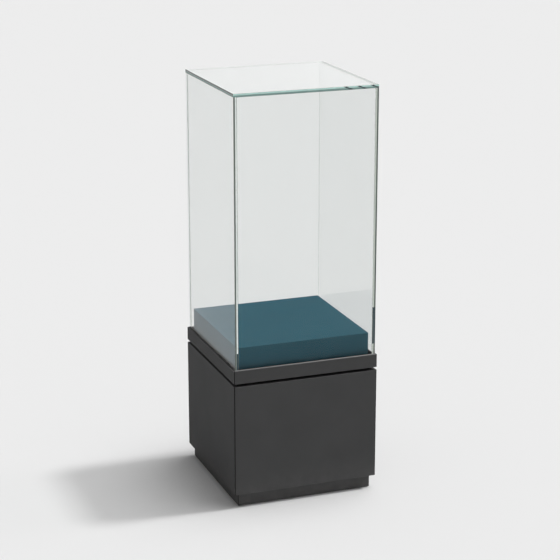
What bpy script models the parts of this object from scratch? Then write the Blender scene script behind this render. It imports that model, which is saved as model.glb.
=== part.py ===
"""Tower display case: a five-sided glass hood in a metal band, on a clad base cabinet.

Metres, +Z up.  The origin is on the floor at the centre of the footprint, and the front faces -Y.
The base is a steel frame of four uprights and a seat ring, clad in mitred boards.  The hood lifts
off, the display block lifts out, and the back of the base has a silica drawer and a locked door.
"""
import math

import bmesh
import bpy
from mathutils import Matrix, Vector

# ---- driving dimensions -------------------------------------------------------------------
CASE_WIDTH = 0.600            # outside width and depth of the cabinet and of the band
CASE_HEIGHT = 1.656           # floor to the top of the glass
CABINET_BOTTOM = 0.056
CABINET_TOP = 0.508
SHADOW_GAP = 0.012            # open joint between the cabinet and the band
BAND_HEIGHT = 0.053
GLASS_THICKNESS = 0.0128      # two 6 mm plies with a 0.8 mm interlayer
GLASS_INSET = 0.0065          # band's outer face to the glass
BOARD_THICKNESS = 0.018
PLINTH_RECESS = 0.018
BLOCK_HEIGHT = 0.0887
TUBE_SIZE = 0.025
DRAWER_FRONT_HEIGHT = 0.106
DRAWER_LENGTH = 0.452
FOOT_PAD_RADIUS = 0.019

# ---- clearances ---------------------------------------------------------------------------
GAP = 0.0003                  # between pieces that touch
REVEAL = 0.001                # set-back of each board at a mitred corner
LEAF_GAP = 0.003              # open joint beside the door and the drawer front
DOOR_HEAD_GAP = 0.004         # door to drawer front, with the upper pivot bracket in it
DOOR_SILL_CLEARANCE = 0.0015  # door over the floor plate
PIN_CLEARANCE = 0.0001        # pin to bore, on the radius
PLUG_CLEARANCE = 0.0002       # lock plug to its housing, on the radius
FRAME_CLEARANCE = 0.004       # back of the boards to the steel frame
PLINTH_CLEARANCE = 0.003      # floor to the plinth boards
SKIRT_CLEARANCE = 0.0018      # band wall to the edge of the seat ring
DECK_CLEARANCE = 0.0065       # hood's seat flange to the deck, all round
BLOCK_CLEARANCE = 0.0025      # hood's seat flange to the display block, all round
CAM_CLEARANCE = 0.0005        # lock cam to what it hooks behind
BARREL_CLEARANCE = 0.0015     # lock housing under the seat leg
TRAY_CLEARANCE = 0.0025       # drawer tray over the mid rail
TRAY_LOCK_CLEARANCE = 0.0005  # drawer lock over the tray
LIP_CLEARANCE = 0.0005        # drawer lip to its runner, above and below
LIP_END_CLEARANCE = 0.0012    # drawer lip to the runner's web
CASSETTE_CLEARANCE = 0.002

# ---- hood and seat ------------------------------------------------------------------------
ARRIS = 0.0008                # softened edges of boards and band
GLASS_ARRIS = 0.0006
BAND_WALL = 0.0062
FLANGE_THICKNESS = 0.006
FLANGE_MARGIN = 0.0062        # seat flange inside the glass
GLASS_REBATE = 0.022          # band top down to the seat flange
TAPE_THICKNESS = 0.0014
GASKET_WIDTH = 0.0055
GASKET_HEIGHT = 0.0054
SEAT_THICKNESS = 0.006
SEAT_LEG = 0.004
SEAT_LEG_DROP = 0.0085        # seat leg below the top of the cabinet
DECK_BELOW_BAND = 0.003
SLOT_LENGTH = 0.060           # air slots in the deck's upstands
SLOT_HEIGHT = 0.008
SLOTS_PER_SIDE = 5
BLOCK_WALL = 0.012

# ---- base frame and feet ------------------------------------------------------------------
TUBE_WALL = 0.0015
SHEET = 0.002
FLOOR_PLATE = 0.003
STILE_WIDTH = 0.0385
SHELF_DROP = 0.002            # shelf top below the drawer front
SHELF_FOLD = 0.020            # depth of the shelf's turned-down edges
MID_RAIL_HEIGHT = 0.037
MID_RAIL_ABOVE_SHELF = 0.012
MID_RAIL_THICKNESS = 0.003
FOOT_BLOCK_WIDTH = 0.046
FOOT_BLOCK_HEIGHT = 0.030
FOOT_SPINDLE_RADIUS = 0.005
FOOT_SPINDLE_SHORT = 0.004    # spindle top below the block's top
FOOT_COLLAR_RADIUS = 0.009
FOOT_COLLAR_HEIGHT = 0.004
FOOT_PAD_HEIGHT = 0.006
FOOT_PAD_EDGE = 0.002

# ---- door and drawer ----------------------------------------------------------------------
LEAF_SEAL_INSET = 0.003
LEAF_SEAL_WIDTH = 0.0065
LEAF_SEAL_DEPTH = 0.0027
PIVOT_RADIUS = 0.003
PIVOT_FROM_EDGE = 0.008
PIVOT_FROM_FACE = 0.006
PIVOT_LENGTH = 0.012
PIVOT_BORE_EXTRA = 0.002
BRACKET_THICKNESS = 0.0015
BRACKET_GAP = 0.0005          # bracket to the door's edge
BRACKET_HALF = 0.011
BRACKET_FACE_INSET = 0.001
TRAY_WALL = 0.0015
LIP_THICKNESS = 0.003
LIP_WIDTH = 0.0135
RUNNER_WALL = 0.0015
RUNNER_END = 0.006            # runner short of the frame's outer face
CASSETTE_HEIGHT = 0.040
CASSETTE_LENGTH = 0.300
CASSETTE_EDGE = 0.002

# ---- locks --------------------------------------------------------------------------------
LOCK_WALL = 0.0018            # of a lock's housing
LOCK_FACE_RECESS = 0.0002     # lock faces behind the surface they are in
CAM_THICKNESS = 0.0025
CAM_HALF_WIDTH = 0.6          # share of the housing's radius
KEYWAY_HALF = (0.0005, 0.004, 0.0030)
HOOD_LOCK_X = 0.180
HOOD_LOCK_RADIUS = 0.005
HOOD_LOCK_ABOVE_BAND = 0.007  # lock's axis above the band's lower edge
HOOD_LOCK_DEPTH = 0.012
HOOD_LOCK_CAM = 0.016
HOOD_LOCK_NOTCH = 0.0075      # half-width of the notch that the cam drops through
LEAF_LOCK_RADIUS = 0.008
DOOR_LOCK_X = 0.200
DOOR_LOCK_BELOW_RAIL = 0.018
DOOR_LOCK_CAM = 0.026
DRAWER_LOCK_CAM = 0.020

# ---- levels and half-widths that follow ---------------------------------------------------
HALF = CASE_WIDTH / 2
BOARD_INSIDE = HALF - BOARD_THICKNESS
PLINTH_HALF = HALF - PLINTH_RECESS
FRAME_HALF = HALF - BOARD_THICKNESS - FRAME_CLEARANCE
FRAME_INSIDE = FRAME_HALF - TUBE_SIZE
GLASS_HALF = HALF - GLASS_INSET
GLASS_INSIDE = GLASS_HALF - GLASS_THICKNESS
FLANGE_INSIDE = GLASS_INSIDE - FLANGE_MARGIN
DECK_HALF = FLANGE_INSIDE - DECK_CLEARANCE
BLOCK_HALF = FLANGE_INSIDE - BLOCK_CLEARANCE
LEAF_HALF = HALF - STILE_WIDTH - LEAF_GAP
BAND_BOTTOM = CABINET_TOP + SHADOW_GAP
BAND_TOP = BAND_BOTTOM + BAND_HEIGHT
FLANGE_TOP = BAND_TOP - GLASS_REBATE
FLANGE_BOTTOM = FLANGE_TOP - FLANGE_THICKNESS
GLASS_BOTTOM = FLANGE_TOP + TAPE_THICKNESS + 2 * GAP
SEAT_TOP = FLANGE_BOTTOM - GASKET_HEIGHT - 2 * GAP
SEAT_BOTTOM = SEAT_TOP - SEAT_THICKNESS
SEAT_LEG_BOTTOM = CABINET_TOP - SEAT_LEG_DROP
DECK_TOP = BAND_TOP - DECK_BELOW_BAND
FLOOR_TOP = CABINET_BOTTOM + FLOOR_PLATE
DRAWER_FRONT_BOTTOM = CABINET_TOP - DRAWER_FRONT_HEIGHT
DOOR_BOTTOM = FLOOR_TOP + DOOR_SILL_CLEARANCE
DOOR_TOP = DRAWER_FRONT_BOTTOM - DOOR_HEAD_GAP
SHELF_TOP = DRAWER_FRONT_BOTTOM - SHELF_DROP
MID_RAIL_TOP = SHELF_TOP + MID_RAIL_ABOVE_SHELF
MID_RAIL_BOTTOM = MID_RAIL_TOP - MID_RAIL_HEIGHT
HOOD_LOCK_Z = BAND_BOTTOM + HOOD_LOCK_ABOVE_BAND
DOOR_LOCK_Z = MID_RAIL_BOTTOM - DOOR_LOCK_BELOW_RAIL
DRAWER_LOCK_Z = SEAT_LEG_BOTTOM - BARREL_CLEARANCE - LEAF_LOCK_RADIUS
DOOR_LOCK_DEPTH = HALF - FRAME_HALF + GAP + MID_RAIL_THICKNESS + CAM_CLEARANCE
DRAWER_LOCK_DEPTH = HALF - FRAME_HALF + SEAT_LEG + CAM_CLEARANCE
TRAY_BOTTOM = MID_RAIL_TOP + TRAY_CLEARANCE
TRAY_TOP = DRAWER_LOCK_Z - LEAF_LOCK_RADIUS - TRAY_LOCK_CLEARANCE
TRAY_HALF = FRAME_INSIDE - GAP - RUNNER_WALL - LIP_END_CLEARANCE - LIP_WIDTH
TRAY_FRONT = BOARD_INSIDE - GAP
TRAY_BACK = TRAY_FRONT - DRAWER_LENGTH
FOOT_CENTRE = PLINTH_HALF - BOARD_THICKNESS - GAP - FOOT_BLOCK_WIDTH / 2

FINISHES = {                  # colour, roughness, metallic
    "charcoal_board": ((0.048, 0.048, 0.048), 0.50, 0.0),
    "charcoal_metal": ((0.045, 0.045, 0.045), 0.45, 0.0),
    "black_steel": ((0.012, 0.012, 0.012), 0.60, 0.0),
    "zinc_steel": ((0.52, 0.53, 0.54), 0.38, 1.0),
    "lock_steel": ((0.62, 0.62, 0.60), 0.25, 1.0),
    "glass": ((0.80, 0.90, 0.87), 0.02, 0.0),
    "black_rubber": ((0.018, 0.018, 0.018), 0.75, 0.0),
    "teal_paint": ((0.052, 0.130, 0.170), 0.60, 0.0),
    "white_plastic": ((0.78, 0.78, 0.76), 0.45, 0.0),
    "foot_plastic": ((0.03, 0.03, 0.03), 0.55, 0.0),
}
SIDES = {"front": 0.0, "right": 90.0, "rear": 180.0, "left": 270.0}    # degrees about +Z
LEFT_RIGHT = {"left": -1, "right": 1}
ROUND_STEPS = 32
OVERLAP = 0.001               # how far a joined shape reaches into its neighbour
UP = Vector((0, 0, 1))
BACKWARD = Vector((0, 1, 0))


# ---- scene and shape tools ----------------------------------------------------------------
def clear_scene():
    for old in list(bpy.data.objects):
        bpy.data.objects.remove(old, do_unlink=True)


def new_collection(name):
    collection = bpy.data.collections.new(name)
    bpy.context.scene.collection.children.link(collection)
    return collection


def finish_material(name, finish):
    colour, roughness, metallic = FINISHES[finish]
    material = bpy.data.materials.new(name + "_" + finish)
    material.use_nodes = True
    shader = material.node_tree.nodes["Principled BSDF"]
    shader.inputs["Base Color"].default_value = (*colour, 1.0)
    shader.inputs["Roughness"].default_value = roughness
    shader.inputs["Metallic"].default_value = metallic
    return material


def add_part(name, mesh, finish, location=(0, 0, 0), turn=0.0):
    """Puts a mesh in the model as one named sub-part."""
    part = bpy.data.objects.new(name, mesh)
    part.location = location
    part.rotation_euler = (0, 0, math.radians(turn))
    mesh.materials.append(finish_material(name, finish))
    PARTS.objects.link(part)
    return part


def turned_about_case(point, turn):
    return Matrix.Rotation(math.radians(turn), 3, "Z") @ Vector(point)


def mesh_from(work, name):
    mesh = bpy.data.meshes.new(name)
    work.to_mesh(mesh)
    work.free()
    return mesh


def box_mesh(name, size, open_ways=()):
    """A box centred on its origin, without the faces that look along open_ways."""
    work = bmesh.new()
    bmesh.ops.create_cube(work, size=1.0)
    bmesh.ops.scale(work, vec=size, verts=work.verts)
    gone = [face for face in work.faces if any(face.normal.dot(way) > 0.9 for way in open_ways)]
    bmesh.ops.delete(work, geom=gone, context="FACES_ONLY")
    return mesh_from(work, name)


def box(name, low, high, finish, turn=0.0):
    """A block between two corners, turned about the case's own axis."""
    low, high = Vector(low), Vector(high)
    centre = turned_about_case((low + high) / 2, turn)
    return add_part(name, box_mesh(name, high - low), finish, centre, turn)


def shell(name, low, high, wall, open_ways, finish):
    """A sheet box between two corners, open along open_ways, with its wall inside its outline."""
    low, high = Vector(low), Vector(high)
    part = add_part(name, box_mesh(name, high - low, open_ways), finish, (low + high) / 2)
    thickness = part.modifiers.new("wall", "SOLIDIFY")
    thickness.thickness = wall
    thickness.offset = -1
    thickness.use_even_offset = True
    return part


def as_cutter(tool):
    CUTTERS.objects.link(tool)
    tool.hide_render = True
    tool.display_type = "WIRE"
    return tool


def box_cutter(name, low, high, turn=0.0):
    low, high = Vector(low), Vector(high)
    tool = bpy.data.objects.new(name, box_mesh(name, high - low))
    tool.location = turned_about_case((low + high) / 2, turn)
    tool.rotation_euler = (0, 0, math.radians(turn))
    return as_cutter(tool)


def rod_mesh(name, radius, length):
    """A solid round bar along local Z, centred on its origin."""
    work = bmesh.new()
    bmesh.ops.create_cone(work, cap_ends=True, segments=ROUND_STEPS, radius1=radius, radius2=radius,
                          depth=length)
    return mesh_from(work, name)


def laid_backward(rod):
    """Turns a bar along Z to lie along Y."""
    rod.rotation_euler = (math.radians(90), 0, 0)
    return rod


def rod_cutter(name, centre, radius, length):
    tool = bpy.data.objects.new(name, rod_mesh(name, radius, length))
    tool.location = centre
    return as_cutter(tool)


def boolean(part, tool, operation="DIFFERENCE"):
    step = part.modifiers.new(operation.lower() + "_" + tool.name, "BOOLEAN")
    step.operation = operation
    step.solver = "EXACT"
    step.object = tool


def soften(part, width=ARRIS, segments=2):
    bevel = part.modifiers.new("arris", "BEVEL")
    bevel.width = width
    bevel.segments = segments
    bevel.limit_method = "ANGLE"
    bevel.angle_limit = math.radians(30)


def extruded(name, points, length):
    """A flat outline pushed along local Z by its length, centred, as one welded mesh."""
    curve = bpy.data.curves.new(name, "CURVE")
    curve.dimensions = "2D"
    curve.fill_mode = "BOTH"
    curve.extrude = length / 2
    spline = curve.splines.new("POLY")
    spline.points.add(len(points) - 1)
    for point, (across, up) in zip(spline.points, points):
        point.co = (across, up, 0, 1)
    spline.use_cyclic_u = True
    guide = bpy.data.objects.new(name, curve)
    PARTS.objects.link(guide)
    bpy.context.view_layer.update()
    mesh = bpy.data.meshes.new_from_object(guide.evaluated_get(bpy.context.evaluated_depsgraph_get()))
    bpy.data.objects.remove(guide, do_unlink=True)
    work = bmesh.new()
    work.from_mesh(mesh)
    bmesh.ops.remove_doubles(work, verts=work.verts, dist=1e-6)
    bmesh.ops.recalc_face_normals(work, faces=work.faces)
    work.to_mesh(mesh)
    work.free()
    return mesh


def mitred(name, section, finish, side, low, high, half=HALF, square_end=None):
    """A bar with a section of (inward, up) points, laid along one side and cut at 45 degrees.

    half is how far its outer face is from the case's axis, and low and high are its ends along
    the side. square_end is "low" or "high" where that end isn't mitred.
    """
    mesh = extruded(name, section, high - low)
    for vertex in mesh.vertices:
        end = "low" if vertex.co.z < 0 else "high"
        if end != square_end:
            vertex.co.z -= math.copysign(vertex.co.x, vertex.co.z)
    mesh.transform(Matrix(((0, 0, 1, 0), (1, 0, 0, 0), (0, 1, 0, 0), (0, 0, 0, 1))))
    mesh.transform(Matrix.Translation(((low + high) / 2, -half, 0)))
    return add_part(name, mesh, finish, turn=SIDES[side])


def rectangle(inner, outer, bottom, top):
    """Section points of a plain rectangle: distances inward, then heights."""
    return [(inner, bottom), (outer, bottom), (outer, top), (inner, top)]


def ring(name, outside, width, bottom, top, finish):
    """A square ring: four walls with no top or bottom."""
    return shell(name, (-outside, -outside, bottom), (outside, outside, top), width, (UP, -UP), finish)


def turned(name, profile, finish, location):
    """A turned piece: (radius, height) points from the top centre down the outside to the bottom."""
    mesh = bpy.data.meshes.new(name)
    points = [(radius, 0, height) for radius, height in profile]
    mesh.from_pydata(points, [(i, i + 1) for i in range(len(points) - 1)], [])
    part = add_part(name, mesh, finish, location)
    screw = part.modifiers.new("turn", "SCREW")
    screw.steps = ROUND_STEPS
    screw.render_steps = ROUND_STEPS
    screw.use_merge_vertices = True
    screw.merge_threshold = 0.00001
    screw.use_smooth_shade = True
    return part


def joint_axis(name, place):
    """An empty on a joint's axis, which the moving pieces hang from."""
    axis = bpy.data.objects.new(name, None)
    axis.location = place
    PARTS.objects.link(axis)
    return axis


def hang(pieces, axis):
    for piece in pieces:
        piece.parent = axis
        piece.matrix_parent_inverse = Matrix.Translation(axis.location).inverted()


def corners():
    """Each corner's name, with the signs of its X and Y."""
    for depth_name, y_sign in (("front", -1), ("rear", 1)):
        for width_name, x_sign in LEFT_RIGHT.items():
            yield depth_name + "_" + width_name, x_sign, y_sign


# ---- base: plinth, feet and frame ---------------------------------------------------------
def build_plinth():
    section = rectangle(0, BOARD_THICKNESS, PLINTH_CLEARANCE, CABINET_BOTTOM - GAP)
    end = PLINTH_HALF - REVEAL
    for side in SIDES:
        soften(mitred("plinth_" + side, section, "charcoal_board", side, -end, end, PLINTH_HALF))


def build_feet():
    block_top = CABINET_BOTTOM - GAP
    spindle_top = block_top - FOOT_SPINDLE_SHORT
    collar_top = FOOT_PAD_HEIGHT + FOOT_COLLAR_HEIGHT
    profile = [(0, spindle_top), (FOOT_SPINDLE_RADIUS, spindle_top), (FOOT_SPINDLE_RADIUS, collar_top),
               (FOOT_COLLAR_RADIUS, collar_top), (FOOT_COLLAR_RADIUS, FOOT_PAD_HEIGHT),
               (FOOT_PAD_RADIUS - FOOT_PAD_EDGE, FOOT_PAD_HEIGHT),
               (FOOT_PAD_RADIUS, FOOT_PAD_HEIGHT - FOOT_PAD_EDGE), (FOOT_PAD_RADIUS, 0), (0, 0)]
    half = Vector((FOOT_BLOCK_WIDTH, FOOT_BLOCK_WIDTH, FOOT_BLOCK_HEIGHT)) / 2
    for corner, x_sign, y_sign in corners():
        foot = Vector((x_sign * FOOT_CENTRE, y_sign * FOOT_CENTRE, 0))
        centre = foot + UP * (block_top - half.z)
        block = box("foot_block_" + corner, centre - half, centre + half, "black_steel")
        boolean(block, rod_cutter("foot_bore_" + corner, centre, FOOT_SPINDLE_RADIUS + PIN_CLEARANCE,
                                  2 * FOOT_BLOCK_HEIGHT))
        turned("foot_" + corner, profile, "foot_plastic", foot)


def build_frame():
    plate = BOARD_INSIDE - GAP
    box("floor_plate", (-plate, -plate, CABINET_BOTTOM), (plate, plate, FLOOR_TOP), "black_steel")
    for corner, x_sign, y_sign in corners():
        xs = sorted((x_sign * FRAME_INSIDE, x_sign * FRAME_HALF))
        ys = sorted((y_sign * FRAME_INSIDE, y_sign * FRAME_HALF))
        shell("upright_" + corner, (xs[0], ys[0], FLOOR_TOP + GAP), (xs[1], ys[1], SEAT_BOTTOM - GAP),
              TUBE_WALL, (UP, -UP), "black_steel")


def build_seat_ring():
    """Four mitred rails: a flat seat for the hood's gasket, on a leg between the uprights."""
    edge = BAND_WALL + SKIRT_CLEARANCE
    plate = rectangle(edge, HALF - FRAME_INSIDE, SEAT_BOTTOM, SEAT_TOP)
    leg_end = FRAME_INSIDE - GAP
    notch_depth = GLASS_INSET + HOOD_LOCK_DEPTH - GAP
    for side, turn in SIDES.items():
        rail = mitred("seat_rail_" + side, plate, "black_steel", side, GAP - HALF, HALF - GAP)
        boolean(rail, box_cutter("seat_leg_" + side, (-leg_end, -FRAME_HALF, SEAT_LEG_BOTTOM),
                                 (leg_end, -FRAME_HALF + SEAT_LEG, SEAT_BOTTOM + OVERLAP), turn), "UNION")
        if side == "rear":
            for name, x_sign in LEFT_RIGHT.items():
                x = x_sign * HOOD_LOCK_X
                low = (x - HOOD_LOCK_NOTCH, -HALF, SEAT_BOTTOM - OVERLAP)
                high = (x + HOOD_LOCK_NOTCH, -HALF + notch_depth, SEAT_TOP + OVERLAP)
                boolean(rail, box_cutter("hood_lock_notch_" + name, low, high, turn))


def build_shelf():
    """A folded plate over the lower compartment, cut round the uprights, and the rail at its back."""
    size = FRAME_HALF - GAP
    back = size - MID_RAIL_THICKNESS - GAP
    shelf = shell("chamber_shelf", (-size, -size, SHELF_TOP - SHELF_FOLD), (size, back, SHELF_TOP), SHEET,
                  (-UP, BACKWARD), "zinc_steel")
    reach = FRAME_INSIDE - GAP
    for corner, x_sign, y_sign in corners():
        xs = sorted((x_sign * reach, x_sign * HALF))
        ys = sorted((y_sign * reach, y_sign * HALF))
        boolean(shelf, box_cutter("upright_clearance_" + corner, (xs[0], ys[0], SHELF_TOP - 2 * SHELF_FOLD),
                                  (xs[1], ys[1], SHELF_TOP + SHELF_FOLD)))
    box("mid_rail", (-reach, back + GAP, MID_RAIL_BOTTOM), (reach, size, MID_RAIL_TOP), "black_steel")


# ---- base: cladding -----------------------------------------------------------------------
def build_cladding():
    section = rectangle(0, BOARD_THICKNESS, CABINET_BOTTOM, CABINET_TOP)
    end = HALF - REVEAL
    stile = HALF - STILE_WIDTH
    for side in ("front", "right", "left"):
        soften(mitred("panel_" + side, section, "charcoal_board", side, -end, end))
    # Along the rear side, low is at the case's +X.
    soften(mitred("rear_stile_right", section, "charcoal_board", "rear", -end, -stile, square_end="high"))
    soften(mitred("rear_stile_left", section, "charcoal_board", "rear", stile, end, square_end="low"))


# ---- deck and display block ---------------------------------------------------------------
def build_deck():
    """A shallow inverted tray on the seat ring, with air slots in its upstands."""
    low = SEAT_TOP + GAP
    deck = shell("deck_tray", (-DECK_HALF, -DECK_HALF, low), (DECK_HALF, DECK_HALF, DECK_TOP), SHEET, (-UP,),
                 "charcoal_metal")
    middle = (low + DECK_TOP - SHEET) / 2
    pitch = 2 * DECK_HALF / SLOTS_PER_SIDE
    for side, turn in SIDES.items():
        for slot in range(SLOTS_PER_SIDE):
            x = (slot - (SLOTS_PER_SIDE - 1) / 2) * pitch
            boolean(deck, box_cutter("air_slot_" + side,
                                     (x - SLOT_LENGTH / 2, -DECK_HALF - SHEET, middle - SLOT_HEIGHT / 2),
                                     (x + SLOT_LENGTH / 2, -DECK_HALF + 2 * SHEET, middle + SLOT_HEIGHT / 2),
                                     turn))


def build_display_block():
    low = DECK_TOP + GAP
    high = low + BLOCK_HEIGHT
    block = shell("display_block", (-BLOCK_HALF, -BLOCK_HALF, low), (BLOCK_HALF, BLOCK_HALF, high),
                  BLOCK_WALL, (-UP,), "teal_paint")
    soften(block)
    hang([block], joint_axis("display_block_axis", (0, 0, low)))


# ---- hood ---------------------------------------------------------------------------------
def build_glass():
    """Five panes: the side panes cover the ends of the front and rear ones, and the top lies on all."""
    top_low = CASE_HEIGHT - GLASS_THICKNESS
    panes = [box("glass_top", (-GLASS_HALF, -GLASS_HALF, top_low), (GLASS_HALF, GLASS_HALF, CASE_HEIGHT),
                 "glass")]
    for side, turn in SIDES.items():
        width = GLASS_HALF if side in LEFT_RIGHT else GLASS_INSIDE - GAP
        panes.append(box("glass_" + side, (-width, -GLASS_HALF, GLASS_BOTTOM),
                         (width, -GLASS_INSIDE, top_low - GAP), "glass", turn))
    for pane in panes:
        soften(pane, GLASS_ARRIS, 1)
    return panes


def build_band():
    """Mitred rails: an upright wall with a flange inside it, which the glass stands on."""
    reach = HALF - FLANGE_INSIDE
    section = [(0, BAND_BOTTOM), (BAND_WALL, BAND_BOTTOM), (BAND_WALL, FLANGE_BOTTOM),
               (reach, FLANGE_BOTTOM), (reach, FLANGE_TOP), (BAND_WALL, FLANGE_TOP), (BAND_WALL, BAND_TOP),
               (0, BAND_TOP)]
    rails = []
    for side in SIDES:
        rail = mitred("band_" + side, section, "charcoal_metal", side, GAP - HALF, HALF - GAP)
        if side == "rear":
            for name, x_sign in LEFT_RIGHT.items():
                bore = rod_cutter("hood_lock_hole_" + name, (x_sign * HOOD_LOCK_X, HALF, HOOD_LOCK_Z),
                                  HOOD_LOCK_RADIUS + GAP, 4 * BAND_WALL)
                boolean(rail, laid_backward(bore))
        soften(rail)
        rails.append(rail)
    return rails


def build_hood():
    gasket_outside = FLANGE_INSIDE + GASKET_WIDTH + GAP
    gasket_low = SEAT_TOP + GAP
    tape_low = FLANGE_TOP + GAP
    pieces = build_glass() + build_band()
    pieces.append(ring("hood_gasket", gasket_outside, GASKET_WIDTH, gasket_low, gasket_low + GASKET_HEIGHT,
                       "black_rubber"))
    pieces.append(ring("glazing_tape", GLASS_HALF, GLASS_THICKNESS, tape_low, tape_low + TAPE_THICKNESS,
                       "black_rubber"))
    for name, x_sign in LEFT_RIGHT.items():
        pieces.append(build_lock("hood_lock_" + name, x_sign * HOOD_LOCK_X, HOOD_LOCK_Z, HOOD_LOCK_RADIUS,
                                 HOOD_LOCK_DEPTH, -UP * HOOD_LOCK_CAM))
    hang(pieces, joint_axis("hood_axis", (0, 0, BAND_BOTTOM)))


# ---- locks --------------------------------------------------------------------------------
def build_lock(name, x, z, radius, depth, reach):
    """A cam lock in the rear face: a fixed housing, and a plug with its cam, which turns.

    The cam is at the housing's inner end, and reach is the way it points when unlocked.
    """
    face = HALF - LOCK_FACE_RECESS
    inner = HALF - depth
    plug_face = face - LOCK_FACE_RECESS
    plug_end = inner - 2 * GAP - CAM_THICKNESS
    axis = Vector((x, 0, z))
    housing = add_part(name + "_housing", rod_mesh(name + "_housing", radius, face - inner), "lock_steel",
                       axis + BACKWARD * (face + inner) / 2)
    bore_radius = radius - LOCK_WALL + PLUG_CLEARANCE
    bore = rod_cutter(name + "_bore", axis + BACKWARD * inner, bore_radius, 4 * depth)
    boolean(laid_backward(housing), laid_backward(bore))
    plug = add_part(name + "_plug", rod_mesh(name + "_plug", radius - LOCK_WALL, plug_face - plug_end),
                    "lock_steel", axis + BACKWARD * (plug_face + plug_end) / 2)
    tip = axis + reach
    half = CAM_HALF_WIDTH * radius
    cam = box_cutter(name + "_cam", (min(x - half, tip.x), plug_end + GAP, min(z - half, tip.z)),
                     (max(x + half, tip.x), inner - GAP, max(z + half, tip.z)))
    boolean(laid_backward(plug), cam, "UNION")
    keyway = Vector(KEYWAY_HALF)
    mouth = axis + BACKWARD * plug_face
    boolean(plug, box_cutter(name + "_keyway", mouth - keyway, mouth + keyway))
    hang([plug], joint_axis(name + "_axis", axis + BACKWARD * HALF))
    return housing


def bore_for_lock(leaf, name, x, z):
    hole = rod_cutter(name + "_hole", (x, HALF, z), LEAF_LOCK_RADIUS + GAP, 4 * BOARD_THICKNESS)
    boolean(leaf, laid_backward(hole))


# ---- rear door ----------------------------------------------------------------------------
def leaf_seal(name, bottom, top):
    """A flat seal stuck round the inner face of the door or the drawer front."""
    side = LEAF_HALF - LEAF_SEAL_INSET
    face = BOARD_INSIDE - GAP
    return shell(name, (-side, face - LEAF_SEAL_DEPTH, bottom + LEAF_SEAL_INSET),
                 (side, face, top - LEAF_SEAL_INSET), LEAF_SEAL_WIDTH, (BACKWARD, -BACKWARD), "black_rubber")


def build_pivot(end, level, sign, pivot):
    """A bracket with its pin: level is its face towards the door, and sign the way its pin points."""
    low, high = sorted((level, level - sign * BRACKET_THICKNESS))
    bracket = box("door_pivot_" + end, (pivot.x - BRACKET_HALF, BOARD_INSIDE + GAP, low),
                  (pivot.x + BRACKET_HALF, HALF - BRACKET_FACE_INSET, high), "zinc_steel")
    middle = (low + high) / 2 + sign * PIVOT_LENGTH / 2
    boolean(bracket, rod_cutter("door_pin_" + end, (pivot.x, pivot.y, middle), PIVOT_RADIUS, PIVOT_LENGTH),
            "UNION")


def build_door():
    pivot = Vector((PIVOT_FROM_EDGE - LEAF_HALF, HALF - PIVOT_FROM_FACE, 0))
    door = box("rear_door", (-LEAF_HALF, BOARD_INSIDE, DOOR_BOTTOM), (LEAF_HALF, HALF, DOOR_TOP),
               "charcoal_board")
    for end, level, sign in (("bottom", DOOR_BOTTOM, 1), ("top", DOOR_TOP, -1)):
        boolean(door, rod_cutter("door_pivot_hole_" + end, (pivot.x, pivot.y, level),
                                 PIVOT_RADIUS + PIN_CLEARANCE, 2 * (PIVOT_LENGTH + PIVOT_BORE_EXTRA)))
        build_pivot(end, level - sign * BRACKET_GAP, sign, pivot)
    bore_for_lock(door, "door_lock", DOOR_LOCK_X, DOOR_LOCK_Z)
    soften(door)
    seal = leaf_seal("door_seal", DOOR_BOTTOM, DOOR_TOP)
    housing = build_lock("door_lock", DOOR_LOCK_X, DOOR_LOCK_Z, LEAF_LOCK_RADIUS, DOOR_LOCK_DEPTH,
                         Vector((-DOOR_LOCK_CAM, 0, 0)))
    hang([door, seal, housing], joint_axis("rear_door_axis", pivot))


# ---- silica drawer ------------------------------------------------------------------------
def build_tray():
    """An open tray with a lip along each side, which slides in a runner."""
    wall_top = TRAY_TOP - LIP_THICKNESS / 2
    tray = shell("drawer_tray", (-TRAY_HALF, TRAY_BACK, TRAY_BOTTOM), (TRAY_HALF, TRAY_FRONT, wall_top),
                 TRAY_WALL, (UP,), "zinc_steel")
    lip_front = TRAY_FRONT - LEAF_SEAL_DEPTH - OVERLAP
    for name, x_sign in LEFT_RIGHT.items():
        xs = sorted((x_sign * (TRAY_HALF - TRAY_WALL), x_sign * (TRAY_HALF + LIP_WIDTH)))
        boolean(tray, box_cutter("drawer_lip_" + name, (xs[0], TRAY_BACK, TRAY_TOP - LIP_THICKNESS),
                                 (xs[1], lip_front, TRAY_TOP)), "UNION")
    return tray


def build_cassettes():
    """Two silica cassettes side by side at the back of the tray."""
    low = TRAY_BOTTOM + TRAY_WALL + GAP
    back = TRAY_BACK + TRAY_WALL + CASSETTE_CLEARANCE
    cassettes = []
    for name, x_sign in LEFT_RIGHT.items():
        xs = sorted((x_sign * CASSETTE_CLEARANCE / 2, x_sign * (TRAY_HALF - TRAY_WALL - CASSETTE_CLEARANCE)))
        cassette = box("silica_cassette_" + name, (xs[0], back, low),
                       (xs[1], back + CASSETTE_LENGTH, low + CASSETTE_HEIGHT), "white_plastic")
        soften(cassette, CASSETTE_EDGE)
        cassettes.append(cassette)
    return cassettes


def build_drawer():
    front = box("drawer_front", (-LEAF_HALF, BOARD_INSIDE, DRAWER_FRONT_BOTTOM),
                (LEAF_HALF, HALF, CABINET_TOP), "charcoal_board")
    bore_for_lock(front, "drawer_lock", 0, DRAWER_LOCK_Z)
    soften(front)
    seal = leaf_seal("drawer_seal", DRAWER_FRONT_BOTTOM, CABINET_TOP)
    housing = build_lock("drawer_lock", 0, DRAWER_LOCK_Z, LEAF_LOCK_RADIUS, DRAWER_LOCK_DEPTH,
                         Vector((-DRAWER_LOCK_CAM, 0, 0)))
    pieces = [front, seal, housing, build_tray()] + build_cassettes()
    hang(pieces, joint_axis("drawer_axis", (0, HALF, TRAY_TOP)))


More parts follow.
